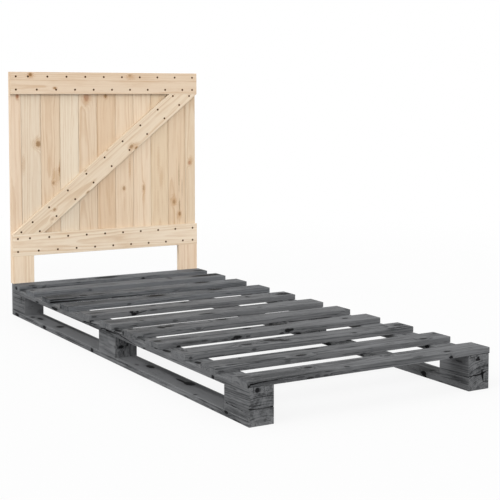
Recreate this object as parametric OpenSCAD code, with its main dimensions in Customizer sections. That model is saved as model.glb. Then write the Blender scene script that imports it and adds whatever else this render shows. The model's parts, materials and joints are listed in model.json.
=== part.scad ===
// Single bed frame of the pallet kind, with a boarded headboard.
// The base is sawn softwood: runners on the floor, blocks, stringers and cross slats.
// The headboard stands behind the base: tongued planks nailed to two rails and a diagonal
// brace, on two legs that are screwed to the head end of the base.
// X runs across the bed and Y along it, with the headboard at +Y. Z = 0 is the floor.

/* [Base] */
// Length of a slat, which is the width of the bed
bed_w = 900; // [700:10:1050]
// Length of the base from the foot face to the head face
bed_l = 2000; // [1600:10:2200]
// How far the slats stand out past the stringers, blocks and runners
slat_overhang = 3; // [0:1:12]
// Width of a slat
slat_w = 90; // [60:1:120]
// Thickness of a slat
slat_t = 19.5; // [15:0.5:28]
// Width of a stringer, the long board under the slat ends
stringer_w = 83; // [70:1:110]
// Thickness of a stringer
stringer_t = 19.5; // [15:0.5:28]
// Width of a block across the bed
block_w = 83; // [70:1:110]
// Length of a block along the bed
block_l = 144; // [120:1:180]
// Height of a block
block_h = 75.5; // [70:0.5:100]
// Width of a runner, the long board on the floor
runner_w = 83; // [70:1:110]
// Thickness of a runner
runner_t = 19.5; // [15:0.5:28]
// Small bevel along the edges of the base's boards
base_ease = 0.8; // [0.4:0.1:2]

/* [Headboard] */
// Height of the headboard above the floor
headboard_h = 1040; // [950:5:1300]
// Height of the bottom rail's lower edge above the floor
rail_clear_z = 250; // [200:5:320]
// How far the headboard stands in from each end of the slats
headboard_inset = 5; // [2:1:30]
// Width of a rail, which stands on edge
rail_w = 95; // [70:1:120]
// Thickness of the rails, the brace and the legs
rail_t = 18; // [15:0.5:24]
// Width of the diagonal brace
brace_w = 87; // [60:1:110]
// Width of a leg
leg_w = 95; // [80:1:120]
// Thickness of a plank
plank_t = 13; // [12:0.5:18]
// Visible width of the two planks at the sides, which are ripped narrower
side_plank_w = 51; // [46:1:80]
// How far a tongue stands out of its plank
tongue_l = 5; // [3:0.5:6]
// Thickness of a tongue
tongue_t = 4; // [3:0.1:5]
// Bevel at each plank's face edge; two of them make the V of a seam
vee = 2; // [1:0.1:3]
// Open width between two planks at the bottom of the V
seam_gap = 0.6; // [0.2:0.1:1.5]
// Small bevel along the edges of the rails, the brace and the legs
rail_ease = 0.8; // [0.4:0.1:2]

/* [Fasteners] */
// Shank of a nail
nail_d = 3; // [2:0.1:4]
// Head of a nail
nail_head_d = 7.2; // [5:0.1:9]
// Thickness of a nail's head
nail_head_t = 1.2; // [0.8:0.1:2]
// How far a nail's point stops short of the far face of the last board
nail_stop = 2.5; // [1:0.5:6]
// Shank of a frame screw
screw_d = 5; // [4:0.1:6]
// Head of a frame screw
screw_head_d = 9.4; // [8:0.1:12]
// Length of a frame screw
screw_l = 60; // [45:1:70]
// Shank of a leg bolt, a coach screw
bolt_d = 8; // [6:0.5:10]
// Width across the flats of a leg bolt's head
bolt_flats = 13; // [10:0.5:17]
// Height of a leg bolt's head
bolt_head_h = 5.5; // [4:0.1:7]
// Length of a leg bolt under its head
bolt_l = 70; // [55:1:90]
// Outer diameter of a washer under a leg bolt
washer_d = 24; // [18:1:30]
// Thickness of that washer
washer_t = 2; // [1.5:0.1:3]
// Play between a fastener and its hole, all round
hole_play = 0.1; // [0.05:0.01:0.3]

/* [Hidden] */

$fn = 32;
base_grey = [0.40, 0.41, 0.42];
pine = [0.90, 0.81, 0.70];
nail_steel = [0.30, 0.26, 0.22];
zinc = [0.72, 0.73, 0.74];
cut = 1; // how far a cutting shape runs past the face that it opens

// Heights of the layers, from the floor up
block_z = runner_t;
stringer_z = block_z + block_h;
slat_z = stringer_z + stringer_t;
base_h = slat_z + slat_t;

// The part is centred on its overall length
total_l = bed_l + rail_t + plank_t;
foot_y = -total_l / 2;
head_y = foot_y + bed_l;
plank_y = head_y + rail_t;
frame_x = bed_w / 2 - slat_overhang;

// Slats: the first, middle and last lie over blocks. The others were nailed by hand,
// so each sits a little towards the head from its even place.
slat_count = 11;
slat_creep = [0, 2, 10, 11, 9, 0, 12, 20, 21, 18, 0];
slat_pitch = (bed_l - slat_w) / (slat_count - 1);
function slat_mid_y(i) = foot_y + slat_w / 2 + i * slat_pitch + slat_creep[i];

// Blocks stand flush with the ends of the base, and one is in the middle
block_mid_ys = [foot_y + block_l / 2, foot_y + bed_l / 2, head_y - block_l / 2];

// Two fasteners at each joint stand on one diagonal of a small rectangle, and the
// other diagonal is free for the frame screws under the slat
pair_x = 18;
pair_y = 25;
joint_x = frame_x - stringer_w / 2;
slat_nail_spots = [[-pair_x, -pair_y], [pair_x, pair_y]];
stringer_screw_spots = [[pair_x, -pair_y], [-pair_x, pair_y]];
runner_screw_y = 44;
runner_screw_spots = [[-pair_x, -runner_screw_y], [pair_x, runner_screw_y]];
slat_at_block = [0, (slat_count - 1) / 2, slat_count - 1];

// Headboard panel
panel_x = bed_w / 2 - headboard_inset;
full_planks = 9;
plank_cover = 2 * (panel_x - side_plank_w) / full_planks;
bottom_rail_top = rail_clear_z + rail_w;
top_rail_bottom = headboard_h - rail_w;
// Left edge of plank i, from 1 to full_planks + 1, measured at the seam
function seam_x(i) = -panel_x + side_plank_w + (i - 1) * plank_cover;

// Tongue and groove lie in the middle of what is left behind the bevel
tongue_y = (plank_t - tongue_t + vee) / 2;
tongue_play = 0.2;

// The brace runs corner to corner between the rails, its ends cut level. Its level
// cut is longer than its width, and follows from the slope that the two corners leave.
brace_rise = top_rail_bottom - bottom_rail_top;
function level_cut(run, rise, w) =
    let (q = rise * rise - w * w)
    (sqrt(pow(w, 4) * run * run + q * w * w * (run * run + rise * rise)) - w * w * run) / q;
brace_cut = level_cut(2 * panel_x, brace_rise, brace_w);
brace_angle = atan2(brace_rise, 2 * panel_x - brace_cut);
brace_mid_z = (bottom_rail_top + top_rail_bottom) / 2;
brace_blank_l = norm([2 * panel_x, brace_rise]) + 2 * brace_w;

// Nails of the headboard's rails: each full plank has one in the upper row near its left
// seam, and one in the lower row near its right seam
nail_edge = 19.5;
side_nail_in = 23;
upper_nail_in = 26;
lower_nail_in = 22.5;
side_nail_xs = [-panel_x + side_nail_in, panel_x - side_nail_in];
upper_nail_xs = concat(side_nail_xs, [for (i = [1:full_planks]) seam_x(i) + upper_nail_in]);
lower_nail_xs = concat(side_nail_xs, [for (i = [1:full_planks]) seam_x(i + 1) - lower_nail_in]);
function rail_nail_spots(z) = concat(
    [for (x = upper_nail_xs) [x, z + rail_w - nail_edge]],
    [for (x = lower_nail_xs) [x, z + nail_edge]]);
top_rail_nail_spots = rail_nail_spots(top_rail_bottom);
bottom_rail_nail_spots = rail_nail_spots(rail_clear_z);

// The brace looks the same turned half round, and so do its nails. A row runs along each
// edge, with its two end nails close to the rails and one nail to a plank between them.
brace_nail_edge = 17.5;
brace_end_nail_off = 8.5;
brace_first_in = 39;
brace_nail_in = 27;
brace_row_rise = (brace_w / 2 - brace_nail_edge) / cos(brace_angle);
function brace_row_z(x) = x * tan(brace_angle) + brace_row_rise;
function brace_row_x(z) = (z - brace_row_rise) / tan(brace_angle);
brace_end_zs = [brace_end_nail_off - brace_rise / 2, brace_rise / 2 - brace_end_nail_off];
brace_upper_xs = concat(
    [for (z = brace_end_zs) brace_row_x(z)],
    [for (i = [1:full_planks - 1]) seam_x(i) + (i == 1 ? brace_first_in : brace_nail_in)]);
brace_nail_spots = concat(
    [for (x = brace_upper_xs) [x, brace_mid_z + brace_row_z(x)]],
    [for (x = brace_upper_xs) [-x, brace_mid_z - brace_row_z(x)]]);
panel_nail_spots = concat(top_rail_nail_spots, bottom_rail_nail_spots, brace_nail_spots);

// Nails from behind, through each side plank into its leg
leg_nail_in = side_plank_w / 2;
leg_nail_step = (rail_clear_z - base_h) / 4;
leg_nail_zs = [base_h + leg_nail_step, rail_clear_z - leg_nail_step];
leg_nail_spots = [for (side = [-1, 1], z = leg_nail_zs) [side * (panel_x - leg_nail_in), z]];

// Leg bolts go into the end of the head block, near its upper and lower faces
bolt_x = frame_x - block_w / 2;
bolt_in = 18;
bolt_zs = [block_z + bolt_in, stringer_z - bolt_in];
bolt_spots = [for (side = [-1, 1], z = bolt_zs) [side * bolt_x, z]];
washer_play = 0.5;
washer_bore = bolt_d + 2 * washer_play;
hex_sides = 6;

// Nails are as long as their two boards are thick together, less the stop
slat_nail_l = slat_t + stringer_t - nail_stop;
rail_nail_l = rail_t + plank_t - nail_stop;

// A board with its length along Z, its width along X and bevels on its four long edges
module bevelled_section(w, t, ease) {
    polygon([
        [-w / 2 + ease, 0], [w / 2 - ease, 0], [w / 2, ease], [w / 2, t - ease],
        [w / 2 - ease, t], [-w / 2 + ease, t], [-w / 2, t - ease], [-w / 2, ease]
    ]);
}

// A board lying along X, its underside at Z = 0
module cross_board(l, w, t, ease) {
    rotate([90, 0, 90])
        translate([0, 0, -l / 2])
            linear_extrude(l)
                bevelled_section(w, t, ease);
}

// A board lying along Y from Y = 0, its underside at Z = 0
module long_board(l, w, t, ease) {
    translate([0, l, 0])
        rotate([90, 0, 0])
            linear_extrude(l)
                bevelled_section(w, t, ease);
}

// A fastener points down from Z = 0, where its head is flush. The play widens it to
// make its hole, and over lets that hole break through the face.
module nail(l, play = 0, over = 0) {
    translate([0, 0, -nail_head_t])
        cylinder(h = nail_head_t + over, d = nail_head_d + 2 * play);
    translate([0, 0, -l - play])
        cylinder(h = l + play, d = nail_d + 2 * play);
}

module screw(l, play = 0, over = 0) {
    head_h = (screw_head_d - screw_d) / 2;
    translate([0, 0, -head_h])
        cylinder(h = head_h, d1 = screw_d + 2 * play, d2 = screw_head_d + 2 * play);
    if (over > 0)
        cylinder(h = over, d = screw_head_d + 2 * play);
    translate([0, 0, -l - play])
        cylinder(h = l + play, d = screw_d + 2 * play);
}

// Fastener groups, drawn as solids or, with play, as the holes that take them
module slat_nails_at(i, play = 0, over = 0) {
    for (side = [-1, 1], spot = slat_nail_spots)
        translate([side * joint_x + spot.x, slat_mid_y(i) + spot.y, base_h])
            nail(slat_nail_l, play, over);
}

module stringer_screws_at(k, play = 0, over = 0) {
    for (side = [-1, 1], spot = stringer_screw_spots)
        translate([side * joint_x + spot.x, slat_mid_y(slat_at_block[k]) + spot.y, slat_z])
            screw(screw_l, play, over);
}

module runner_screws_at(k, play = 0, over = 0) {
    for (side = [-1, 1], spot = runner_screw_spots)
        translate([side * joint_x + spot.x, block_mid_ys[k] + spot.y, 0])
            rotate([180, 0, 0])
                screw(screw_l, play, over);
}

module front_nails(spots, play = 0, over = 0) {
    for (spot = spots)
        translate([spot.x, head_y, spot.y])
            rotate([90, 0, 0])
                nail(rail_nail_l, play, over);
}

module back_nails(spots, play = 0, over = 0) {
    for (spot = spots)
        translate([spot.x, head_y + rail_t + plank_t, spot.y])
            rotate([-90, 0, 0])
                nail(rail_nail_l, play, over);
}

module bolt_shanks(d, l, over = 0) {
    for (spot = bolt_spots)
        translate([spot.x, head_y + rail_t + over, spot.y])
            rotate([90, 0, 0])
                cylinder(h = l + over, d = d);
}

// Base
module runner(side) {
    color(base_grey)
        difference() {
            translate([side * (frame_x - runner_w / 2), foot_y, 0])
                long_board(bed_l, runner_w, runner_t, base_ease);
            for (k = [0:2])
                runner_screws_at(k, hole_play, cut);
        }
}

module block(side, k) {
    color(base_grey)
        difference() {
            translate([side * (frame_x - block_w / 2), block_mid_ys[k] - block_l / 2, block_z])
                long_board(block_l, block_w, block_h, base_ease);
            stringer_screws_at(k, hole_play);
            runner_screws_at(k, hole_play);
            if (k == 2)
                bolt_shanks(bolt_d + 2 * hole_play, bolt_l + hole_play - washer_t);
        }
}

module stringer(side) {
    color(base_grey)
        difference() {
            translate([side * (frame_x - stringer_w / 2), foot_y, stringer_z])
                long_board(bed_l, stringer_w, stringer_t, base_ease);
            for (i = [0:slat_count - 1])
                slat_nails_at(i, hole_play);
            for (k = [0:2])
                stringer_screws_at(k, hole_play, cut);
        }
}

module slat(number) {
    i = number - 1;
    color(base_grey)
        difference() {
            translate([0, slat_mid_y(i), slat_z])
                cross_board(bed_w, slat_w, slat_t, base_ease);
            slat_nails_at(i, hole_play, cut);
        }
}

// Headboard
module leg(side) {
    color(pine)
        difference() {
            translate([side * (panel_x - leg_w / 2), head_y, 0])
                linear_extrude(rail_clear_z)
                    bevelled_section(leg_w, rail_t, rail_ease);
            back_nails(leg_nail_spots, hole_play);
            bolt_shanks(bolt_d + 2 * hole_play, bolt_l, cut);
        }
}

module rail(z, nail_spots) {
    color(pine)
        difference() {
            translate([0, head_y + rail_t, z + rail_w / 2])
                rotate([90, 0, 0])
                    cross_board(2 * panel_x, rail_w, rail_t, rail_ease);
            front_nails(nail_spots, hole_play, cut);
        }
}

module diagonal_brace() {
    color(pine)
        difference() {
            intersection() {
                translate([0, plank_y, brace_mid_z])
                    rotate([90, -brace_angle, 0])
                        cross_board(brace_blank_l, brace_w, rail_t, rail_ease);
                translate([0, head_y + rail_t / 2, brace_mid_z])
                    cube([2 * panel_x, rail_t + 2 * cut, brace_rise], center = true);
            }
            front_nails(brace_nail_spots, hole_play, cut);
        }
}

// Cross-section of a plank between two X places, face at Y = 0. A plank has a groove
// on its left and a tongue on its right, and the panel's outer edges are plain.
module plank_section(x0, x1, groove, tongue) {
    left = groove ? vee : rail_ease;
    right = tongue ? vee : rail_ease;
    difference() {
        union() {
            polygon([
                [x0 + left, 0], [x1 - right, 0], [x1, right],
                [x1, plank_t], [x0, plank_t], [x0, left]
            ]);
            if (tongue)
                translate([x1 - cut, tongue_y])
                    square([tongue_l + cut, tongue_t]);
        }
        if (groove)
            translate([x0 - cut, tongue_y - tongue_play])
                square([tongue_l + cut, tongue_t + 2 * tongue_play]);
    }
}

// The nails that reach into a plank between two X places
function nails_between(spots, x0, x1) = [for (s = spots) if (s.x > x0 && s.x < x1) s];

module plank(number) {
    last = full_planks + 2;
    first_side = number == 1;
    last_side = number == last;
    at_side = first_side || last_side;
    x0 = first_side ? -panel_x : seam_x(number - 1) + seam_gap / 2;
    x1 = last_side ? panel_x : seam_x(number) - seam_gap / 2;
    z0 = at_side ? base_h : rail_clear_z;
    color(pine)
        difference() {
            translate([0, plank_y, z0])
                linear_extrude(headboard_h - z0)
                    plank_section(x0, x1, !first_side, !last_side);
            front_nails(nails_between(panel_nail_spots, x0, x1), hole_play);
            if (at_side)
                back_nails(leg_nail_spots, hole_play, cut);
        }
}

// Fasteners
module slat_nails() {
    color(base_grey) // the stain covers their heads
        for (i = [0:slat_count - 1])
            slat_nails_at(i);
}

module top_rail_nails() {
    color(nail_steel)
        front_nails(top_rail_nail_spots);
}

module bottom_rail_nails() {
    color(nail_steel)
        front_nails(bottom_rail_nail_spots);
}

module brace_nails() {
    color(nail_steel)
        front_nails(brace_nail_spots);
}

module leg_nails() {
    color(nail_steel)
        back_nails(leg_nail_spots);
}

module stringer_screws() {
    color(zinc)
        for (k = [0:2])
            stringer_screws_at(k);
}

module runner_screws() {
    color(zinc)
        for (k = [0:2])
            runner_screws_at(k);
}

module leg_bolts() {
    color(zinc)
        for (spot = bolt_spots)
            translate([spot.x, head_y + rail_t + washer_t, spot.y])
                rotate([-90, 0, 0]) {
                    cylinder(h = bolt_head_h, d = bolt_flats / cos(180 / hex_sides), $fn = hex_sides);
                    translate([0, 0, -bolt_l])
                        cylinder(h = bolt_l, d = bolt_d);
                }
}

module leg_washers() {
    color(zinc)
        for (spot = bolt_spots)
            translate([spot.x, head_y + rail_t, spot.y])
                rotate([-90, 0, 0])
                    difference() {
                        cylinder(h = washer_t, d = washer_d);
                        translate([0, 0, -cut])
                            cylinder(h = washer_t + 2 * cut, d = washer_bore);
                    }
}

runner(-1);  // runner_left
runner(1);  // runner_right
block(-1, 0);  // block_foot_left
block(1, 0);  // block_foot_right
block(-1, 1);  // block_middle_left
block(1, 1);  // block_middle_right
block(-1, 2);  // block_head_left
block(1, 2);  // block_head_right
stringer(-1);  // stringer_left
stringer(1);  // stringer_right
slat(1);  // slat_01
slat(2);  // slat_02
slat(3);  // slat_03
slat(4);  // slat_04
slat(5);  // slat_05
slat(6);  // slat_06
slat(7);  // slat_07
slat(8);  // slat_08
slat(9);  // slat_09
slat(10);  // slat_10
slat(11);  // slat_11
leg(-1);  // leg_left
leg(1);  // leg_right
rail(rail_clear_z, bottom_rail_nail_spots);  // bottom_rail
rail(top_rail_bottom, top_rail_nail_spots);  // top_rail
diagonal_brace();
plank(1);  // plank_01
plank(2);  // plank_02
plank(3);  // plank_03
plank(4);  // plank_04
plank(5);  // plank_05
plank(6);  // plank_06
plank(7);  // plank_07
plank(8);  // plank_08
plank(9);  // plank_09
plank(10);  // plank_10
plank(11);  // plank_11
slat_nails();
stringer_screws();
runner_screws();
top_rail_nails();
bottom_rail_nails();
brace_nails();
leg_nails();
leg_bolts();
leg_washers();
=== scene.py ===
# Single bed of the pallet kind: a base of sawn boards under grey stain and a boarded pine headboard
import json
import math

import bpy
from mathutils import Matrix, Vector

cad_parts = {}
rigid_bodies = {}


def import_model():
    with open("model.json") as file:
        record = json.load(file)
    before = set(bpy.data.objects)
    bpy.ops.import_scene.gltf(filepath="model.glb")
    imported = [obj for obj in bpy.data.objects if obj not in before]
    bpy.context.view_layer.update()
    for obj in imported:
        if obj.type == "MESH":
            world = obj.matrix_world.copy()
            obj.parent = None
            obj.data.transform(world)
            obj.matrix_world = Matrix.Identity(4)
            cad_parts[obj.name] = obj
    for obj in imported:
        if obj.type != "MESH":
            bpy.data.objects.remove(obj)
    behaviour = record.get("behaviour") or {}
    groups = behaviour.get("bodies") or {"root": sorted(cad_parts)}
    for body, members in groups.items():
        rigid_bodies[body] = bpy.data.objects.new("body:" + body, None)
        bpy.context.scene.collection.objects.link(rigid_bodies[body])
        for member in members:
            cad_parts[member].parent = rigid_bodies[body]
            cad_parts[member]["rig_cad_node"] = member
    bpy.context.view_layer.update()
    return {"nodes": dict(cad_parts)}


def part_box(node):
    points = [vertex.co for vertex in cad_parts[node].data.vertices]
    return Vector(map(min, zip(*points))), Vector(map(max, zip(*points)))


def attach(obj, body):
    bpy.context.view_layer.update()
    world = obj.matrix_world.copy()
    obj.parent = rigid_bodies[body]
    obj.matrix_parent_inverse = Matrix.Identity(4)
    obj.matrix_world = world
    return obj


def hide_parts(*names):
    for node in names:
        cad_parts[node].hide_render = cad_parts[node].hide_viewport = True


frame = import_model()
nodes = frame["nodes"]
print("frame loaded:", len(nodes), "nodes")


# camera: eye height of a person who stands past the foot of the bed, a little to its left
cameraSetup = {
    "place": (-2.1150, -3.8591, 0.9454),
    "lookDown": 3.918,
    "lookRight": 30.446,
    "lens": 85.06,
    "sensor": 36.0,
    "shiftUp": -0.15,
    "farthest": 200.0,
}


def addCamera(setup):
    data = bpy.data.cameras.new("camera")
    data.lens = setup["lens"]
    data.sensor_width = setup["sensor"]
    data.shift_y = setup["shiftUp"]
    data.clip_end = setup["farthest"]
    camera = bpy.data.objects.new("camera", data)
    camera.location = setup["place"]
    camera.rotation_euler = (math.radians(90.0 - setup["lookDown"]), 0.0, math.radians(-setup["lookRight"]))
    bpy.context.collection.objects.link(camera)
    bpy.context.scene.camera = camera


addCamera(cameraSetup)
print("camera set")


# small helpers for building node trees
def put(tree, value, socket):
    if isinstance(value, bpy.types.NodeSocket):
        tree.links.new(value, socket)
    else:
        socket.default_value = value


def operated(tree, kind, operation, values):  # outputs of a new node
    node = tree.nodes.new(kind)
    node.operation = operation
    for value, socket in zip(values, node.inputs):
        put(tree, value, socket)
    return node.outputs


def calc(tree, operation, *values):
    return operated(tree, "ShaderNodeMath", operation, values)[0]


def times(tree, first, second):
    return calc(tree, "MULTIPLY", first, second)


def added(tree, total, value, factor):  # the total and so many times the value
    return calc(tree, "MULTIPLY_ADD", value, factor, total)


def rest(tree, value):  # what is left of 1
    return calc(tree, "SUBTRACT", 1.0, value)


def centred(tree, value):  # a noise of 0 to 1 as -0.5 to 0.5
    return calc(tree, "SUBTRACT", value, 0.5)


def calcVector(tree, operation, *values):
    outputs = operated(tree, "ShaderNodeVectorMath", operation, values)
    return outputs["Value" if operation in ("LENGTH", "DOT_PRODUCT") else "Vector"]


def centredColour(tree, node):  # a noise node's colour as a vector round zero
    return calcVector(tree, "SUBTRACT", node.outputs["Color"], (0.5, 0.5, 0.5))


def scaled(tree, vector, factor):
    node = tree.nodes.new("ShaderNodeVectorMath")
    node.operation = "SCALE"
    put(tree, vector, node.inputs[0])
    put(tree, factor, node.inputs["Scale"])
    return node.outputs[0]


def step(tree, value, start, end):  # smooth 0 to 1 between start and end
    node = tree.nodes.new("ShaderNodeMapRange")
    node.interpolation_type = "SMOOTHSTEP"
    put(tree, value, node.inputs["Value"])
    put(tree, start, node.inputs["From Min"])
    put(tree, end, node.inputs["From Max"])
    return node.outputs["Result"]


def noise(tree, point, detail, rough=0.5):
    node = tree.nodes.new("ShaderNodeTexNoise")
    put(tree, point, node.inputs["Vector"])
    node.inputs["Scale"].default_value = 1.0
    node.inputs["Detail"].default_value = detail
    node.inputs["Roughness"].default_value = rough
    return node


def parts(tree, vector):
    node = tree.nodes.new("ShaderNodeSeparateXYZ")
    put(tree, vector, node.inputs[0])
    return node.outputs


def mixed(tree, factor, first, second):
    node = tree.nodes.new("ShaderNodeMix")
    node.data_type = "RGBA"
    put(tree, factor, node.inputs[0])
    put(tree, first, node.inputs[6])
    put(tree, second, node.inputs[7])
    return node.outputs[2]


def newGroup(name, ins, outs):
    tree = bpy.data.node_groups.new(name, "ShaderNodeTree")
    for label, value in ins:
        kind = "NodeSocketVector" if isinstance(value, tuple) else "NodeSocketFloat"
        socket = tree.interface.new_socket(name=label, in_out="INPUT", socket_type=kind)
        socket.default_value = value
    for label in outs:
        tree.interface.new_socket(name=label, in_out="OUTPUT", socket_type="NodeSocketFloat")
    start = tree.nodes.new("NodeGroupInput")
    end = tree.nodes.new("NodeGroupOutput")
    return tree, start.outputs, end.inputs


def useGroup(tree, group, **values):
    node = tree.nodes.new("ShaderNodeGroup")
    node.node_tree = group
    for label, value in values.items():
        put(tree, value, node.inputs[label])
    return node.outputs


origin = (0.0, 0.0, 0.0)
markShift = (3.1, 1.7, 2.3)  # shift of a mark's noise for each step of its seed


def markNoise(tree, point, scale, seed, detail):
    place = calcVector(tree, "ADD", scaled(tree, point, scale), scaled(tree, markShift, seed))
    return noise(tree, place, detail)


# timber grain: yearly rings round a pith, cut by the board, with streaks and fine fibres (all in mm)
grain = {
    "sizes": {  # along the board and across it
        "bend": (300, 75), "ripple": (45, 16), "streak": (190, 9), "check": (55, 4.5),
        "fibre": (26, 1.1), "blotch": (170, 34)},
    "shift": (13.17, 7.71, 3.37),  # for each step of the seed
    "bends": 2.0, "ripples": 0.28,  # both times the wander
    "years": (0.31, 5.3, 2.4),  # how fast, how apart and how much the years' widths change
    "lateWood": (0.25, 0.86, 0.9, 1.0),  # where in a year its dark wood begins, is full, ends and is gone
    "faintest": 0.3,  # least dark wood of a year
    "checks": (0.64, 0.76),  # noise at which a check begins and is full
}


def timberGrain(look):
    tree, start, end = newGroup(
        "timber grain",
        [("Point", origin), ("Pith", (0.0, 0.0, -60.0)), ("Tilt", 0.0), ("Ring", 4.0),
         ("Wander", 6.0), ("Seed", 0.0), ("Push", 0.0)],
        ["Late", "Streak", "Fibre", "Blotch", "Check"])
    wander, seed = start["Wander"], start["Seed"]
    shift = scaled(tree, look["shift"], seed)

    def pattern(name, detail, rough=0.5):
        long, wide = look["sizes"][name]
        scale = (1 / long, 1 / wide, 1 / wide)
        return noise(tree, calcVector(tree, "MULTIPLY_ADD", start["Point"], scale, shift), detail, rough)

    bend = scaled(tree, centredColour(tree, pattern("bend", 1.5, 0.45)), times(tree, wander, look["bends"]))
    ripple = scaled(tree, centredColour(tree, pattern("ripple", 2.0)), times(tree, wander, look["ripples"]))
    wave = parts(tree, calcVector(tree, "ADD", bend, ripple))
    off = parts(tree, calcVector(tree, "SUBTRACT", start["Point"], start["Pith"]))
    dy = calc(tree, "ADD", off[1], wave[1])
    dz = added(tree, calc(tree, "ADD", off[2], wave[2]), off[0], start["Tilt"])
    radius = calc(tree, "SQRT", calc(tree, "ADD", times(tree, dy, dy), times(tree, dz, dz)))
    ring = calc(tree, "DIVIDE", calc(tree, "ADD", radius, start["Push"]), start["Ring"])
    quick, apart, change = look["years"]
    years = tree.nodes.new("ShaderNodeTexNoise")
    years.noise_dimensions = "1D"
    put(tree, added(tree, times(tree, seed, apart), ring, quick), years.inputs["W"])
    years.inputs["Scale"].default_value = 1.0
    years.inputs["Detail"].default_value = 1.0
    ring = added(tree, ring, years.outputs[0], change)
    part = calc(tree, "FRACT", ring)
    begins, full, ends, gone = look["lateWood"]
    late = times(tree, step(tree, part, begins, full), rest(tree, step(tree, part, ends, gone)))
    strength = tree.nodes.new("ShaderNodeTexWhiteNoise")
    strength.noise_dimensions = "1D"
    put(tree, calc(tree, "ADD", calc(tree, "FLOOR", ring), seed), strength.inputs["W"])
    faintest = look["faintest"]
    late = times(tree, late, added(tree, faintest, strength.outputs["Value"], 1.0 - faintest))
    put(tree, late, end["Late"])
    put(tree, pattern("streak", 3.0, 0.6).outputs[0], end["Streak"])
    put(tree, step(tree, pattern("check", 1.0).outputs[0], *look["checks"]), end["Check"])
    put(tree, pattern("fibre", 2.0).outputs[0], end["Fibre"])
    put(tree, pattern("blotch", 3.0, 0.62).outputs[0], end["Blotch"])
    return tree


# a knot: dark core and rim, a warm halo, and the push that bows the rings round it
knot = {
    "uneven": 0.22,  # scale of the noise in its outline
    "border": 0.97,  # this, the rim and the halo as shares of its half size
    "rim": (0.5, 0.85, 0.95, 1.15),
    "halo": (0.8, 2.6),
    "bow": 1.5,  # push in its middle, times its half width
    "bowFade": -0.3,
}


def timberKnot(look):
    tree, start, end = newGroup(
        "timber knot",
        [("Point", origin), ("Centre", origin), ("Radii", (8.0, 5.0, 20.0)),
         ("Ragged", 0.8), ("Soft", 0.11), ("Seed", 0.0)],
        ["Core", "Rim", "Halo", "Push"])
    away = calcVector(tree, "SUBTRACT", start["Point"], start["Centre"])
    away = calcVector(tree, "DIVIDE", away, start["Radii"])
    ragged = markNoise(tree, start["Point"], look["uneven"], start["Seed"], 2.0).outputs[0]
    far = added(tree, calcVector(tree, "LENGTH", away), centred(tree, ragged), start["Ragged"])
    inner = calc(tree, "SUBTRACT", look["border"], start["Soft"])
    outer = calc(tree, "ADD", look["border"], start["Soft"])
    put(tree, rest(tree, step(tree, far, inner, outer)), end["Core"])
    begins, full, ends, gone = look["rim"]
    rim = times(tree, step(tree, far, begins, full), rest(tree, step(tree, far, ends, gone)))
    put(tree, rim, end["Rim"])
    put(tree, rest(tree, step(tree, far, *look["halo"])), end["Halo"])
    near = calc(tree, "EXPONENT", times(tree, times(tree, far, far), look["bowFade"]))
    size = parts(tree, start["Radii"])[1]
    put(tree, times(tree, near, times(tree, size, look["bow"])), end["Push"])
    return tree


# a split or scratch from one point to another, wide at its start and thin at its end
split = {"uneven": 0.07, "bends": 2.0, "thinning": -0.65, "border": (0.55, 1.25)}


def timberSplit(look):
    tree, start, end = newGroup(
        "timber split",
        [("Point", origin), ("Start", origin), ("End", (40.0, 0.0, 0.0)),
         ("Width", 1.5), ("Wobble", 2.0), ("Seed", 0.0)],
        ["Split"])
    bumpy = markNoise(tree, start["Point"], look["uneven"], start["Seed"], 3.0)
    bend = scaled(tree, centredColour(tree, bumpy), times(tree, start["Wobble"], look["bends"]))
    reach = calcVector(tree, "SUBTRACT", start["End"], start["Start"])
    away = calcVector(tree, "SUBTRACT", calcVector(tree, "ADD", start["Point"], bend), start["Start"])
    ahead = calcVector(tree, "DOT_PRODUCT", away, reach)
    along = calc(tree, "DIVIDE", ahead, calcVector(tree, "DOT_PRODUCT", reach, reach))
    along = calc(tree, "MINIMUM", calc(tree, "MAXIMUM", along, 0.0), 1.0)
    side = calcVector(tree, "SUBTRACT", away, scaled(tree, reach, along))
    wide = times(tree, start["Width"], added(tree, 1.0, along, look["thinning"]))
    far = calc(tree, "DIVIDE", calcVector(tree, "LENGTH", side), times(tree, wide, 0.5))
    put(tree, rest(tree, step(tree, far, *look["border"])), end["Split"])
    return tree


# a dark ring in the wood round a nail head
nailRing = {"squash": (1.0, 1.0, 0.2), "blur": 0.5}


def darkNailRing(look):
    tree, start, end = newGroup(
        "dark nail ring", [("Point", origin), ("Centre", origin), ("Reach", 4.6)], ["Mark"])
    off = calcVector(tree, "SUBTRACT", start["Point"], start["Centre"])
    far = calcVector(tree, "LENGTH", calcVector(tree, "MULTIPLY", off, look["squash"]))
    inner = calc(tree, "SUBTRACT", start["Reach"], look["blur"])
    outer = calc(tree, "ADD", start["Reach"], look["blur"])
    put(tree, rest(tree, step(tree, far, inner, outer)), end["Mark"])
    return tree


# wear on the arrises and the cut ends, and painted shade on the walls of cracks, of a board of the given
# half size
edgeWearAndCrackShade = {
    "size": (0.03, 0.09, 0.09), "shift": (2.9, 4.3, 1.3), "patches": (0.35, 0.7),
    "cutEnd": (0.25, 0.9), "crackShade": (0.7, 2.2),  # mm below the face; deeper than this a crack's wall gets painted shade
}


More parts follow.
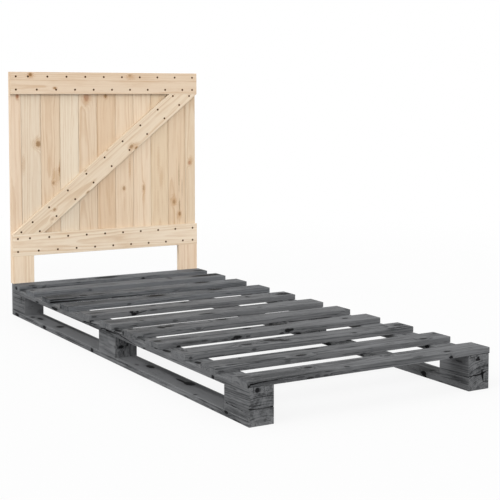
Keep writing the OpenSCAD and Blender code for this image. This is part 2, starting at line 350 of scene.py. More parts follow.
def timberEdges(look):
    tree, start, end = newGroup(
        "timber edges",
        [("Point", origin), ("Half", (450.0, 45.0, 9.75)), ("Reach", 2.5), ("Seed", 0.0)],
        ["Edge", "Cut End", "Inside"])
    gap = calcVector(tree, "SUBTRACT", start["Half"], calcVector(tree, "ABSOLUTE", start["Point"]))
    gap = parts(tree, gap)
    low = calc(tree, "MINIMUM", gap[0], gap[1])
    high = calc(tree, "MAXIMUM", gap[0], gap[1])
    second = calc(tree, "MAXIMUM", low, calc(tree, "MINIMUM", high, gap[2]))
    shift = scaled(tree, look["shift"], start["Seed"])
    patchy = calcVector(tree, "MULTIPLY_ADD", start["Point"], look["size"], shift)
    worn = step(tree, noise(tree, patchy, 3.0, 0.6).outputs[0], *look["patches"])
    near = rest(tree, step(tree, second, 0.0, start["Reach"]))
    put(tree, times(tree, near, worn), end["Edge"])
    put(tree, rest(tree, step(tree, gap[0], *look["cutEnd"])), end["Cut End"])
    put(tree, step(tree, calc(tree, "MINIMUM", low, gap[2]), *look["crackShade"]), end["Inside"])
    return tree


grainGroup = timberGrain(grain)
knotGroup = timberKnot(knot)
splitGroup = timberSplit(split)
edgeGroup = timberEdges(edgeWearAndCrackShade)
ringGroup = darkNailRing(nailRing)
print("timber groups built")


# how a board lies: its grain along the bed, across it, upright, or along the brace
lying = {
    "across": Matrix(((1, 0, 0), (0, 1, 0), (0, 0, 1))),
    "along": Matrix(((0, -1, 0), (1, 0, 0), (0, 0, 1))),
    "rail": Matrix(((1, 0, 0), (0, 0, -1), (0, 1, 0))),
    "upright": Matrix(((0, -1, 0), (0, 0, -1), (1, 0, 0))),
}

# the two finishes: colours as linear values, then how much each part of the grain darkens the wood
finishes = {
    "greyStain": {
        "light": (0.166, 0.169, 0.174),
        "deep": (0.030, 0.031, 0.033),
        "knot": (0.008, 0.008, 0.009),
        "halo": (0.075, 0.077, 0.080),
        "split": (0.008, 0.008, 0.009),
        "worn": (0.200, 0.202, 0.204),
        "stain": (0.034, 0.035, 0.037),
        "late": 0.58, "streak": 1.50, "fibre": 0.66, "blotch": 1.90, "check": 0.50,
        "cutEnd": -0.06, "offset": 0.08, "roughTop": 0.30,
        "ragged": 1.0, "soft": 0.11, "haloShare": 0.5,
        "roughness": 0.74, "gloss": 0.12, "relief": 0.40,
    },
    "pine": {
        "light": (0.835, 0.665, 0.500),
        "deep": (0.600, 0.370, 0.200),
        "knot": (0.300, 0.160, 0.060),
        "halo": (0.600, 0.350, 0.180),
        "worn": (0.830, 0.690, 0.510),
        "stain": (0.560, 0.320, 0.150),
        "ring": (0.220, 0.085, 0.014),
        "bounce": (0.66, 0.72, 0.80),
        "late": 0.46, "streak": 0.85, "fibre": 0.16, "blotch": 0.45, "check": 0.14,
        "cutEnd": 0.20, "offset": 0.02,
        "ragged": 0.9, "soft": 0.34, "haloShare": 0.7,
        "roughness": 0.64, "gloss": 0.25, "relief": 0.18,
    },
}

# height of the fibres and rings in the relief, and of a knot's rim and a split
reliefShares = {"fibre": 0.5, "late": 0.6, "rim": -0.8, "split": -4.0}
wornShare = 0.45
middleDark = 0.36  # usual darkness of an upper face
fibreRough, darkRough = 0.16, 0.06
faceStart, faceFull = 1.2, 0.4  # mm under a face where its own stain begins and is full
# patches of stain and thin streaks of resin: how ragged, how soft, and the step of their seeds
patchShapes = {"stains": (1.6, 0.6, 5.1), "streaks": (1.2, 0.5, 7.3)}
knotSeeds, splitSeeds = 3.7, 2.3
mm = 0.001


def rgba(colour, tint=(1.0, 1.0, 1.0)):
    return tuple(c * t for c, t in zip(colour, tint)) + (1.0,)


# which way a board's faces look: axis of the board and its sign
facing = {
    "across": {"front": (1, -1.0), "left": (0, -1.0), "top": (2, 1.0)},
    "along": {"front": (0, -1.0), "left": (1, 1.0), "top": (2, 1.0)},
}


def onFace(tree, point, half, lie, face):  # 1 on the named face of a board, 0 on the others
    axis, sign = facing[lie][face]
    outward = times(tree, parts(tree, point)[axis], sign)
    return step(tree, outward, half[axis] - faceStart, half[axis] - faceFull)


def patched(tree, point, board, kind, colour, paint):  # the colour with the patches of one kind on it
    ragged, soft, apart = patchShapes[kind]
    for number, (centre, radii, amount) in enumerate(board.get(kind, [])):
        mark = useGroup(tree, knotGroup, Point=point, Centre=centre, Radii=radii, Ragged=ragged,
                        Soft=soft, Seed=board["seed"] + number * apart)
        colour = mixed(tree, times(tree, mark["Core"], amount), colour, paint)
    return colour


def timberColour(tree, point, half, board, finish, lie):
    look = finishes[finish]
    seed = board["seed"]
    tint = board.get("tint", (1.0, 1.0, 1.0))
    push, core, halo, rim = 0.0, 0.0, 0.0, 0.0
    for number, (centre, radii, amount) in enumerate(board.get("knots", [])):
        mark = useGroup(tree, knotGroup, Point=point, Centre=centre, Radii=radii, Soft=look["soft"],
                        Ragged=board.get("ragged", look["ragged"]), Seed=seed + number * knotSeeds)
        push = calc(tree, "ADD", mark["Push"], push)
        core = calc(tree, "MAXIMUM", times(tree, mark["Core"], amount), core)
        rim = calc(tree, "MAXIMUM", times(tree, mark["Rim"], amount), rim)
        halo = calc(tree, "MAXIMUM", times(tree, mark["Halo"], amount), halo)
    rings = useGroup(tree, grainGroup, Point=point, Pith=(0.0,) + board["pith"], Seed=seed, Push=push,
                     Tilt=board["tilt"], Ring=board["ring"], Wander=board.get("wander", 6.0))
    border = useGroup(tree, edgeGroup, Point=point, Half=half, Seed=seed)
    dark = added(tree, look["offset"], rings["Late"], look["late"] * board.get("bold", 1.0))
    dark = added(tree, dark, rings["Check"], look["check"])
    dark = added(tree, dark, centred(tree, rings["Streak"]), look["streak"] * board.get("streaky", 1.0))
    dark = added(tree, dark, centred(tree, rings["Fibre"]), look["fibre"])
    dark = added(tree, dark, centred(tree, rings["Blotch"]), look["blotch"] * board.get("patchy", 1.0))
    dark = added(tree, dark, border["Cut End"], look["cutEnd"])
    dark = calc(tree, "ADD", dark, board.get("darker", 0.0))
    if "leftEndShade" in board:  # painted shade: a slat gets darker towards its left end
        dark = added(tree, dark, calc(tree, "DIVIDE", parts(tree, point)[0], half[0]), -board["leftEndShade"])
    if "roughTop" in look:  # an upper face is rougher and took the stain less evenly
        top = onFace(tree, point, half, lie, "top")
        uneven = times(tree, calc(tree, "SUBTRACT", dark, middleDark), top)
        dark = added(tree, dark, uneven, look["roughTop"])
    for face, amount in board.get("faces", {}).items():  # painted light and shade: one face made lighter or darker for how light falls on it
        dark = added(tree, dark, onFace(tree, point, half, lie, face), amount)
    dark = calc(tree, "MINIMUM", calc(tree, "MAXIMUM", dark, 0.0), 1.0)
    colour = mixed(tree, dark, rgba(look["light"], tint), rgba(look["deep"], tint))
    colour = mixed(tree, times(tree, border["Edge"], wornShare), colour, rgba(look["worn"], tint))
    ridges = times(tree, rings["Late"], reliefShares["late"])
    height = added(tree, ridges, rings["Fibre"], reliefShares["fibre"])
    colour = patched(tree, point, board, "stains", colour, rgba(look["stain"], tint))
    colour = patched(tree, point, board, "streaks", colour, rgba(look["knot"]))
    if "knots" in board:
        colour = mixed(tree, times(tree, halo, look["haloShare"]), colour, rgba(look["halo"], tint))
        colour = mixed(tree, core, colour, rgba(board.get("knotColour", look["knot"])))
        height = added(tree, height, rim, reliefShares["rim"])
    for number, (first, last, width, wobble) in enumerate(board.get("splits", [])):
        line = useGroup(tree, splitGroup, Point=point, Start=first, End=last, Width=width, Wobble=wobble,
                        Seed=seed + number * splitSeeds)["Split"]
        colour = mixed(tree, line, colour, rgba(look["split"]))
        height = added(tree, height, line, reliefShares["split"])
    if "cracks" in board:  # painted shade: the walls of a crack, deeper than a mm or two below the face, are painted near black
        colour = mixed(tree, border["Inside"], colour, rgba(look["split"]))
    if "heads" in board:
        ringed = 0.0
        for centre in board["heads"]:
            ringed = calc(tree, "MAXIMUM", useGroup(tree, ringGroup, Point=point, Centre=centre)[0], ringed)
        colour = mixed(tree, ringed, colour, rgba(look["ring"]))
    rough = added(tree, look["roughness"] - fibreRough / 2, rings["Fibre"], fibreRough)
    return colour, added(tree, rough, dark, darkRough), height


def boardPoint(tree, centre, matrix):  # object coordinates to mm along, across and off the board
    where = tree.nodes.new("ShaderNodeTexCoord")
    turn = tree.nodes.new("ShaderNodeMapping")
    turn.vector_type = "TEXTURE"
    turn.inputs["Location"].default_value = centre
    turn.inputs["Rotation"].default_value = matrix.to_euler("XYZ")
    turn.inputs["Scale"].default_value = (mm, mm, mm)
    tree.links.new(where.outputs["Object"], turn.inputs["Vector"])
    return turn.outputs[0]


def newMaterial(name):
    material = bpy.data.materials.new(name)
    material.use_nodes = True
    tree = material.node_tree
    return material, tree, tree.nodes["Principled BSDF"]


def dress(node, material):
    nodes[node].material_slots[0].material = material


headDepth = 0.0003  # m behind the foremost corner that still belong to the heads' front faces
headReach = 0.0100  # m within which corners belong to one head


def headCentres(node):  # middles of a nail row's heads, from the corners of their front faces
    places = [nodes[node].matrix_world @ corner.co for corner in nodes[node].data.vertices]
    front = min(place.y for place in places)
    found = []
    for place in places:
        if place.y > front + headDepth:
            continue
        near = [one for one in found if (one[0] - place).length < headReach]
        if near:
            near[0].append(place)
        else:
            found.append([place])
    return [sum(one, Vector()) / len(one) for one in found]


def boardBox(node, lie):  # middle of a board in metres, and its half size in mm as it lies
    low, high = (Vector(corner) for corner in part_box(node))
    half = lying[lie].transposed() @ ((high - low) / 2)
    return (low + high) / 2, tuple(abs(v) * 1000 for v in half)


brush = {"scale": 0.35, "wander": 2.4, "blur": 0.4}  # lower border of a leg's pine


def timberBoard(node, board, lie, finish, lower=None, half=None):
    centre, boxHalf = boardBox(node, lie)
    half = half or boxHalf
    matrix, look = lying[lie], finishes[finish]
    if "nails" in board:
        heads = [matrix.transposed() @ (place - centre) * 1000 for place in headCentres(board["nails"])]
        board = dict(board, heads=heads)
    material, tree, shader = newMaterial(node)
    point = boardPoint(tree, centre, matrix)
    colour, rough, height = timberColour(tree, point, half, board, finish, lie)
    if lower is not None:  # the part that stands behind the base was brushed with the base's stain
        hidden = timberColour(tree, point, half, board, "greyStain", "along")[0]
        edge = noise(tree, scaled(tree, point, brush["scale"]), 2.0).outputs[0]
        up = calc(tree, "SUBTRACT", parts(tree, point)[0], lower + brush["wander"] / 2)
        above = step(tree, added(tree, up, edge, brush["wander"]), -brush["blur"], brush["blur"])
        colour = mixed(tree, above, hidden, colour)
    if "bounce" in look:  # pale boards pass a little less of their colour to each other
        ray = tree.nodes.new("ShaderNodeLightPath").outputs["Is Diffuse Ray"]
        colour = mixed(tree, ray, colour, calcVector(tree, "MULTIPLY", colour, look["bounce"]))
    tree.links.new(colour, shader.inputs["Base Color"])
    tree.links.new(rough, shader.inputs["Roughness"])
    relief = tree.nodes.new("ShaderNodeBump")
    relief.inputs["Strength"].default_value = 1.0
    relief.inputs["Distance"].default_value = look["relief"] * mm
    tree.links.new(height, relief.inputs["Height"])
    tree.links.new(relief.outputs[0], shader.inputs["Normal"])
    shader.inputs["Specular IOR Level"].default_value = look["gloss"]
    dress(node, material)


def chooseOnly(piece):
    bpy.ops.object.select_all(action="DESELECT")
    piece.select_set(True)
    bpy.context.view_layer.objects.active = piece


# drying cracks, cut as tapered wedges into a copy of the board that then stands for its node:
# each runs from one point to another on a face, with its width at the start and its depth there
crackTaper = 0.35  # share of width and depth left at the thin end
wedgeWidth = 1155.0  # mm across a wedge of unit size where it meets the face
weldDistance = 0.000002  # m


def cutCracks(node, cracks, lie):
    centre, half = boardBox(node, lie)
    matrix = lying[lie]
    chooseOnly(nodes[node])
    bpy.ops.object.duplicate()
    piece = bpy.context.object
    piece.name = node + "_cracked"
    del piece["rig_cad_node"]
    bpy.ops.object.mode_set(mode="EDIT")
    bpy.ops.mesh.select_all(action="SELECT")
    bpy.ops.mesh.remove_doubles(threshold=weldDistance)
    bpy.ops.object.mode_set(mode="OBJECT")
    for first, last, width, depth in cracks:
        first, last = Vector(first), Vector(last)
        middle = (first + last) / 2
        axis = min(range(3), key=lambda i: half[i] - abs(middle[i]))
        side = math.copysign(1.0, middle[axis])
        first[axis] = last[axis] = side * half[axis]
        inward = Vector([-side if i == axis else 0.0 for i in range(3)])
        run = (last - first).normalized()
        frameOfCut = Matrix((inward.cross(run), inward, run)).transposed()
        bpy.ops.object.select_all(action="DESELECT")
        bpy.ops.mesh.primitive_cone_add(
            vertices=3, radius1=1.0, radius2=crackTaper, depth=(last - first).length / 1000,
            location=centre + matrix @ ((first + last) / 2000),
            rotation=(matrix @ frameOfCut).to_euler("XYZ"))
        wedge = bpy.context.object
        wedge.scale = (width / wedgeWidth, depth / 1000, 1.0)
        bpy.ops.object.transform_apply(location=False, rotation=False, scale=True)
        cut = piece.modifiers.new("crack", "BOOLEAN")
        cut.operation = "DIFFERENCE"
        cut.solver = "EXACT"
        cut.object = wedge
        chooseOnly(piece)
        bpy.ops.object.modifier_apply(modifier="crack")
        bpy.data.objects.remove(wedge)
    bpy.ops.object.shade_flat()
    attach(piece, "root")
    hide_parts(node)


# slats: marks are (along, across, up) in mm from the middle of the board, then half sizes and darkness;
# splits and cracks run from one such point to another, then width and wobble, or width and depth
# each board's per-face darkness is painted light and shade: positive darkens a face, negative lightens it
slats = {
    "slat_01": {"pith": (20, -48), "tilt": 0.01, "ring": 4.6, "seed": 1.0,
        "faces": {"front": 0.18, "left": -0.2, "top": 0.02},
        "knots": [((-103, -37, 9), (9, 7, 8), 0.9), ((-209, 13, 9), (14, 9, 8), 0.95),
        ((291, -45, -5), (8, 7, 4.5), 1), ((291, -25, 9), (14, 8, 8), 1), ((90, 20, 9), (12, 6, 8), 0.7),
        ((162, -39, 9.5), (18, 4, 3), 0.75), ((-215, -45, -3), (9, 5, 5), 0.5),
        ((-240, -45, -6), (13, 4, 3), 0.8), ((-271, -45, 1), (14, 4, 3), 0.5),
        ((-185, -45, -5), (9, 4, 3), 0.6), ((-402, -9, 9), (16, 5, 8), 0.7)],
        "stains": [((-350, -17, 9), (120, 28, 8), 0.66), ((-373, -45, -2), (90, 8, 7), 0.62),
        ((-60, 20, 9), (60, 14, 12), 0.2)],
        # painted shadow: the last split darkens the lower front edge at the right end, along the seam with
        # the stringer's end
        "splits": [((-450, -44, -9), (-450, -43, 7), 5, 0.5), ((-450, -45, -8), (-440, -45, -1), 6, 0.5),
        ((-442, -45, -1), (-400, -45, 2), 6, 0.8), ((-400, -45, 2), (-320, -45, 5), 3.6, 1),
        ((-320, -45, 5), (-200, -45, 8), 1.8, 1.2), ((450, -45, -8.8), (340, -45, -9.5), 3, 0.4)],
        "cracks": [((-453, -45, -9), (-440, -45, -1), 4, 6), ((-444, -45, -1.5), (-400, -45, 2), 4, 7),
        ((-406, -45, 1.7), (-320, -45, 5), 2.6, 5), ((-330, -45, 4.7), (-250, -45, 7), 1.5, 3)]},
    "slat_02": {"pith": (-30, -52), "tilt": -0.008, "ring": 4.0, "seed": 2.0,
        "faces": {"front": -0.07, "top": 0.13},
        "knots": [((348, -27, 9), (16, 9, 8), 1), ((-137, -31, 9), (21, 10, 8), 1),
        ((93, -45, -10), (16, 5, 3), 0.9), ((-58, 29, 9), (26, 6, 8), 1),
        ((-195, -45, -1), (10, 4, 4), 0.3), ((-430, -45, -4), (11, 4, 3), 0.55),
        ((-437, -32, 9), (9, 5, 6), 0.6), ((-325, 28, 9), (5, 8, 6), 0.8), ((435, 22, 9), (9, 6, 6), 0.8),
        ((352, -45, -9), (10, 4, 2), 0.8)],
        "stains": [((230, 12, 9), (80, 18, 12), 0.2), ((-300, -10, 9), (80, 20, 12), 0.25)]},
    "slat_03": {"pith": (8, -40), "tilt": 0.012, "ring": 5.2, "seed": 3.0, "faces": {"left": -0.15},
        "knots": [((-104, 16, 9), (21, 12, 8), 1), ((-84, 1, 9), (26, 11, 8), 1),
        ((-62, -14, 9), (20, 10, 8), 1), ((207, -31, 9), (10, 8, 8), 0.9),
        ((-203, -8, 9), (20, 11, 8), 0.85), ((395, -32, 9), (50, 9, 8), 0.9),
        ((422, 4, 9), (23, 12, 8), 0.84), ((94, -45, -10), (14, 5, 3), 0.8),
        ((-198, -45, -1), (9, 4, 4), 0.55), ((-428, -45, -2), (6, 4, 4), 0.6),
        ((-423, 22, 9), (5, 10, 6), 0.7), ((169, -45, -10), (8, 4, 2), 0.9)],
        "stains": [((-110, 6, 9), (60, 18, 8), 0.3)]},
    "slat_04": {"pith": (-14, -60), "tilt": 0.004, "ring": 4.4, "seed": 4.0,
        "knots": [((52, -45, 3), (13, 9, 7), 1), ((66, -45, 4), (10, 8, 5), 1),
        ((28, -45, -4), (8, 6, 3), 0.9), ((84, -45, -10), (20, 5, 3), 0.8), ((-150, -45, 0), (17, 9, 6), 1),
        ((-166, -45, -5), (8, 6, 4), 0.9), ((49, 35, 9), (56, 11, 8), 1), ((332, 9, 9), (14, 9, 8), 0.9),
        ((-430, -6, 9), (14, 13, 8), 0.8), ((-373, -45, -7), (8, 5, 3), 1),
        ((-336, -9, 9), (27, 9, 8), 0.65), ((-108, -45, -1), (9, 4, 4), 0.55),
        ((-71, 27, 9), (18, 9, 8), 1), ((-330, -45, 2), (36, 4, 2), 0.35),
        ((-198, -45, -4), (13, 4, 3), 0.45), ((-276, -45, 2), (14, 5, 3), 0.5),
        ((-236, -45, -5), (14, 5, 3), 0.5)],
        "stains": [((-310, -45, 1), (70, 8, 5), 0.55), ((-170, -45, -2), (56, 8, 6), 0.45),
        ((-390, -10, 9), (30, 14, 8), 0.3)],
        "splits": [((-450, -24, -8), (-450, -45, -5), 4, 1)]},
    "slat_05": {"pith": (34, -46), "tilt": -0.01, "ring": 4.8, "seed": 5.0,
        "faces": {"front": -0.09, "left": 0.2, "top": 0.08},
        "knots": [((-66, 26, 9), (26, 11, 8), 1), ((-318, 6, 9), (14, 17, 8), 1),
        ((-284, 12, 9), (20, 12, 8), 1), ((-198, -45, 0), (10, 4, 4), 0.35),
        ((110, -45, -10.5), (24, 5, 3), 0.8), ((152, -45, -10.5), (14, 5, 3), 0.8),
        ((441, -33, 9), (8, 9, 8), 1), ((-450, 35, -2), (4, 5, 8), 1), ((-424, 31, 9), (10, 9, 8), 0.8),
        ((-426, -45, -4), (9, 4, 3), 0.6)],
        "stains": [((-400, -18, 9), (46, 14, 8), 0.5), ((-236, 15, 9), (20, 8, 8), 0.3)]},
    "slat_06": {"pith": (-22, -70), "tilt": 0.006, "ring": 4.2, "seed": 6.0,
        "faces": {"front": -0.09, "left": -0.08, "top": 0.09},
        "knots": [((180, -12, 9), (12, 7, 12), 0.6), ((-197, -45, 0), (11, 4, 4), 0.45),
        ((-58, -29, 9), (33, 10, 8), 0.9), ((77, -3, 9), (6, 6, 8), 0.8),
        ((-430, -45, -6), (10, 4, 3), 0.75), ((-324, -28, 9), (8, 8, 8), 0.7)],
        "stains": [((-428, 1, 9), (15, 26, 8), 0.35)]},
    "slat_07": {"pith": (10, -50), "tilt": 0.009, "ring": 4.4, "seed": 7.0, "faces": {"front": -0.1},
        "knots": [((-268, -45, -2), (11, 8, 7), 1), ((-277, -45, 6), (8, 7, 4), 1),
        ((-254, -45, 5), (6, 5, 3), 1), ((416, -5, 9), (33, 21, 8), 1), ((-23, 22, 9), (17, 9, 8), 0.95),
        ((-429, -45, 3), (10, 4, 4), 0.5), ((256, 5, 9), (10, 16, 8), 0.8),
        ((-155, 24, 9), (12, 8, 8), 0.6), ((-186, -45, 6), (16, 5, 3), 0.5)],
        "stains": [((-407, -9, 9), (34, 19, 8), 0.72)],
        "splits": [((-262, -45, -2), (-216, -45, 5), 5, 1.5)]},
    "slat_08": {"pith": (-40, -44), "tilt": -0.006, "ring": 5.0, "seed": 8.0, "darker": 0.12,
        "tint": (0.98, 1.0, 1.02), "faces": {"front": -0.25, "left": 0.3, "top": 0.08},
        "knots": [((230, 30, 9), (35, 14, 8), 1), ((-49, 19, 9), (42, 20, 8), 1),
        ((184, -24, 9), (10, 7, 10), 0.7), ((-450, 34, -5), (3, 5, 5), 1),
        ((-196, -45, -1), (10, 5, 4), 0.6), ((-433, -32, 9), (17, 7, 8), 0.6),
        ((-322, 22, 9), (9, 12, 8), 0.5)],
        "stains": [((-330, 4, 9), (110, 28, 12), 0.35)]},
    "slat_09": {"pith": (25, -58), "tilt": 0.007, "ring": 4.6, "seed": 9.0, "darker": 0.08,
        "tint": (0.98, 1.0, 1.02), "faces": {"front": -0.02, "left": 0.34, "top": 0.05},
        "knots": [((268, 29, 9), (40, 15, 8), 1), ((-299, -18, 9), (18, 14, 8), 0.8),
        ((-229, -17, 9), (26, 14, 8), 0.5)],
        "stains": [((-396, 8, 9), (84, 32, 8), 0.95)],
        "splits": [((-450, -45, 7), (-300, -45, 6), 5.5, 1), ((-450, -45, -3), (-290, -45, -4), 7, 1),
        ((-290, -45, -4), (-230, -45, -5), 2.4, 0.8), ((-184, -45, -5), (-60, -45, -5), 3.8, 0.6)],
        "cracks": [((-453, -45, 6.5), (-300, -45, 6), 3.6, 6), ((-453, -45, -3), (-290, -45, -4), 4.6, 8),
        ((-184, -45, -5), (-60, -45, -5), 1.8, 3)]},
    "slat_10": {"pith": (-12, -46), "tilt": -0.009, "ring": 4.2, "seed": 10.0, "tint": (0.98, 1.0, 1.02),
        "faces": {"front": -0.18, "top": -0.19},
        "knots": [((379, 10, 9), (76, 23, 8), 1), ((-201, -45, 0), (8, 4, 4), 0.5),
        ((-433, 16, 9), (8, 14, 8), 0.6), ((202, 20, 9), (12, 18, 8), 0.7)],
        "stains": [((-120, 12, 9), (70, 16, 12), 0.3)]},
    "slat_11": {"pith": (30, -54), "tilt": 0.005, "ring": 4.8, "seed": 11.0, "darker": 0.03,
        "tint": (0.98, 1.0, 1.02), "faces": {"front": -0.06, "left": -0.45, "top": -0.16},
        "knots": [((-450, -6, -2), (8, 13, 7), 1), ((-436, -45, -5), (12, 5, 4), 0.5),
        ((-342, -45, 0), (9, 5, 3), 0.6), ((126, -45, 1), (9, 6, 4), 0.9), ((-29, 7, 9), (58, 23, 8), 1),
        ((421, -22, 9), (34, 15, 8), 0.9), ((-381, -45, 1), (11, 4, 3), 0.6),
        ((-388, -34, 9), (17, 12, 8), 0.8), ((-146, 4, 9), (20, 14, 8), 0.6)]},
}
# a slat is painted darker at its left end than in its middle, as shade, and took its stain more evenly than
# the beams
slatStainAndShade = {"leftEndShade": 0.11, "patchy": 0.6, "streaky": 0.82}
for name, board in slats.items():
    timberBoard(name, {**board, **slatStainAndShade}, "across", "greyStain")
print("slats stained")

# stringers and runners: along is up the bed from its middle, across is towards the left side
beams = {
    "stringer_left": {"pith": (-20, -52), "tilt": 0.004, "ring": 5.0, "ragged": 0.5, "seed": 21.0,
        "knots": [((-787, 41.5, -3), (9, 8, 6), 1), ((510, 41.5, -1), (34, 8, 6), 1),
        ((706, 41.5, -5), (18, 6, 4), 0.9), ((-1000, 14, 0), (12, 7, 8), 1),
        ((-1000, 7, -1), (12, 5, 6), 0.6), ((-447, 26, 9), (26, 10, 8), 1), ((-646, 16, 9), (17, 10, 8), 1),
        ((150, 36, 9), (14, 8, 8), 1), ((-66, 26, 9), (22, 12, 8), 1), ((-48, 2, 9), (5, 9, 8), 0.9),
        ((-308, 41.5, -7), (9, 6, 4), 1), ((-617, 26, 9), (5, 5, 8), 0.8), ((-252, 18, 9), (17, 5, 8), 0.6),
        ((-421, -28, 9), (7, 7, 8), 0.6), ((152, -18, 9), (7, 7, 8), 0.6)],
        "stains": [((10, 41.5, -3), (220, 12, 8), 0.5), ((-200, 20, 9), (70, 30, 8), 0.3)],
        "splits": [((215, 41.5, -3), (70, 41.5, 8), 6, 2.5), ((160, 41.5, -5), (60, 41.5, -9), 4.5, 2),
        ((55, 41.5, -3), (5, 41.5, 9), 5, 2), ((5, 41.5, 1), (-120, 41.5, 4), 8, 2.5),
        ((20, 41.5, 3), (-60, 41.5, -8), 4, 2.5), ((-120, 41.5, 3), (-235, 41.5, -7), 5, 2),
        ((-60, 41.5, 8), (-180, 41.5, 8), 4, 2), ((-1000, 26, 9), (-1000, 26, -9), 1.8, 0.8),
        ((-1000, -9, 9), (-1000, -9, -9), 2, 0.8), ((-1000, -32, 9), (-1000, -32, -9), 2, 0.8)],
        "cracks": [((215, 41.5, -3), (70, 41.5, 7), 3.4, 5), ((160, 41.5, -5), (60, 41.5, -8), 2.6, 4),
        ((8, 41.5, 1), (-120, 41.5, 4), 5, 8), ((-112, 41.5, 3), (-235, 41.5, -6), 3.2, 5)]},
    "stringer_right": {"pith": (16, -60), "tilt": -0.004, "ring": 4.6, "seed": 22.0,
        "faces": {"left": -0.7, "top": -0.38},
        "knots": [((-1000, 5, -6.5), (12, 10, 5), 1), ((-1000, 3, -1), (12, 5, 5), 1),
        ((-790, 41.5, 1), (12, 9, 6), 1), ((-320, -20, 9), (15, 8, 8), 0.8),
        ((410, 12, 9), (13, 7, 8), 0.8), ((150, -18, 9), (10, 12, 8), 0.8), ((152, 29, 9), (9, 11, 8), 0.7),
        ((-626, 9, 9), (11, 5, 8), 0.7)],
        "splits": [((-1000, 13, 6), (-1000, 3, 8), 3, 0.8)]},
    # painted light: the left runner is tinted lighter all over, against the shade of the stringer and slats
    # above it
    "runner_left": {"pith": (10, -64), "tilt": 0.003, "ring": 5.4, "patchy": 1.25, "ragged": 0.6,
        "seed": 23.0, "tint": (1.12, 1.12, 1.12), "faces": {"left": 0.2, "front": 0.05, "top": -0.95},
        "knots": [((556, 1, 9), (18, 15, 8), 1), ((755, 10, 9), (26, 9, 8), 0.95),
        ((806, 24, 9), (13, 9, 8), 0.9), ((-250, -9, 9), (27, 12, 8), 1), ((-528, -14, 9), (28, 16, 8), 1),
        ((-486, -9, 9), (42, 6, 8), 1), ((626, 41.5, 0), (18, 9, 7), 1), ((137, 41.5, -1), (13, 9, 8), 1),
        ((952, 41.5, -2), (26, 9, 7), 1), ((-868, 41.5, 4), (12, 8, 5), 1), ((-660, 34, 9), (6, 6, 8), 0.8),
        ((-200, 18, 9), (14, 6, 8), 0.5), ((-932, 41.5, -7), (26, 6, 3), 0.7),
        ((-1000, -12, 5), (8, 5, 5), 0.3)],
        # painted shadow: the last three stains lie along the inner edge of the top, where the stringer and
        # slats shade it
        "stains": [((-1000, 0, 6), (14, 24, 7), 0.5), ((-460, -26, 9), (330, 14, 8), 0.75),
        ((540, -30, 9), (280, 11, 8), 0.85), ((740, -29, 9), (120, 10, 8), 0.6)]},
    "runner_right": {"pith": (-24, -50), "tilt": -0.005, "ring": 4.8, "seed": 24.0,
        "faces": {"left": -0.22, "front": 0.25, "top": 0.19},
        "knots": [((-420, 41.5, -2), (14, 7, 4), 0.8), ((-196, 41.5, -3), (34, 10, 9), 1),
        ((4, 41.5, 3), (23, 9, 7), 1), ((212, 41.5, 4), (20, 9, 4), 1), ((-774, 41.5, 3), (14, 10, 8), 1),
        ((-780, 41.5, -6), (8, 8, 5), 1), ((-600, 4, 9), (18, 9, 8), 0.8), ((-778, 8, 9), (9, 10, 8), 0.8),
        ((-245, -26, 9), (10, 17, 8), 1), ((191, 26, 9), (9, 7, 8), 0.8)],
        "splits": [((-850, 41.5, -6), (-1000, 41.5, -5), 1.2, 1)]},
}
for name, board in beams.items():
    timberBoard(name, board, "along", "greyStain")
print("runners and stringers stained")

